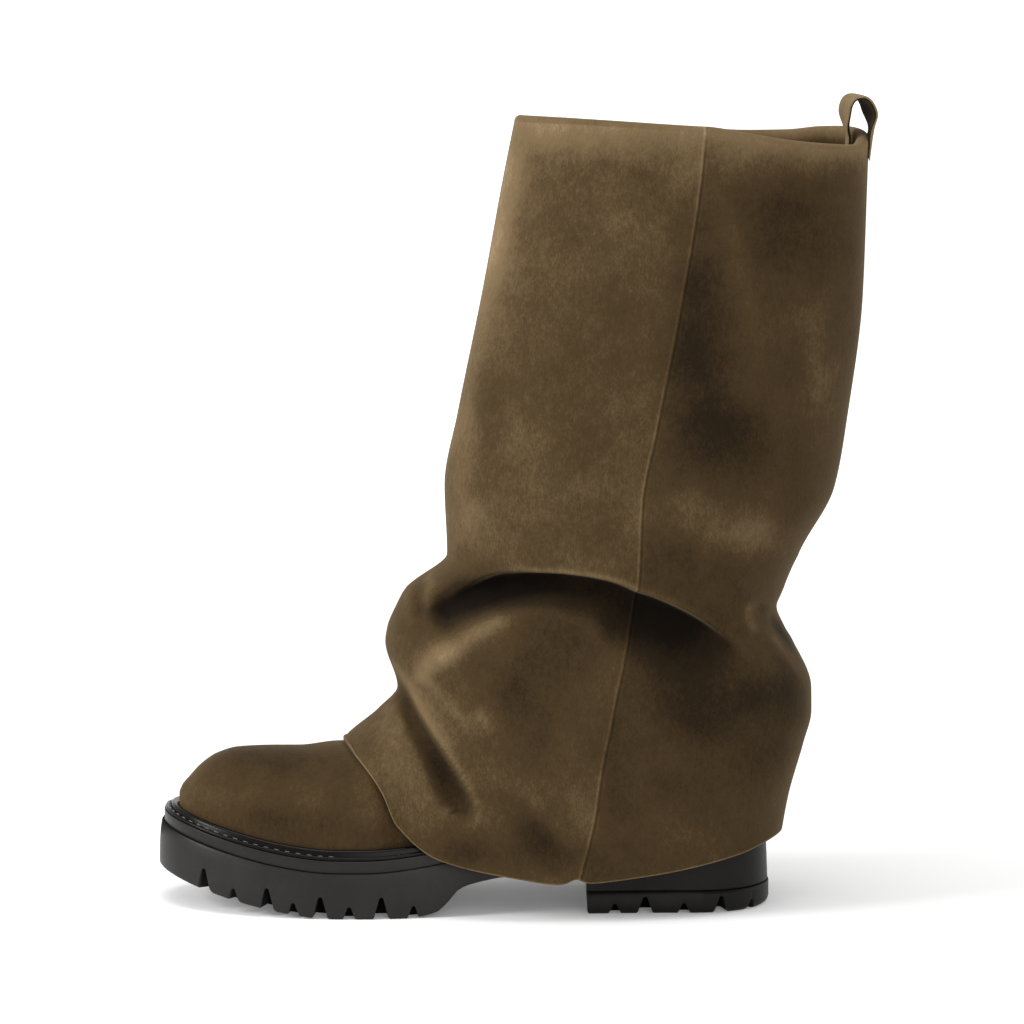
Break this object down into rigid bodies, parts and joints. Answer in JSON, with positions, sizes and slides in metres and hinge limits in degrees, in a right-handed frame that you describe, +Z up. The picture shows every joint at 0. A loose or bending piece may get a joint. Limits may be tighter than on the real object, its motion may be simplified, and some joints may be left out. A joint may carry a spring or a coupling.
{
  "type": "slouch boot",
  "caption": "Pull-on suede boot for the left foot with a wide slouching shaft folded at the ankle, on a lugged rubber sole with a stacked heel.",
  "frame": {"origin": "on the ground, in the middle of the boot's bounding box", "axes": "+Z up, -X towards the toe, -Y towards the outer side of the left foot"},
  "size_m": [0.3406, 0.1336, 0.3856],
  "materials": {
    "suede": "brown suede with a soft brushed nap",
    "rubber": "black rubber, satin",
    "welt_rubber": "black rubber, glossy",
    "footbed": "smooth tan leather"
  },
  "bodies": {
    "root": {"outsole": "rubber", "heel_block": "rubber", "heel_toplift": "rubber", "midsole": "rubber", "welt": "welt_rubber", "insole": "footbed", "upper": "suede", "shaft": "suede", "pull_loop": "suede"}
  },
  "joints": []
}
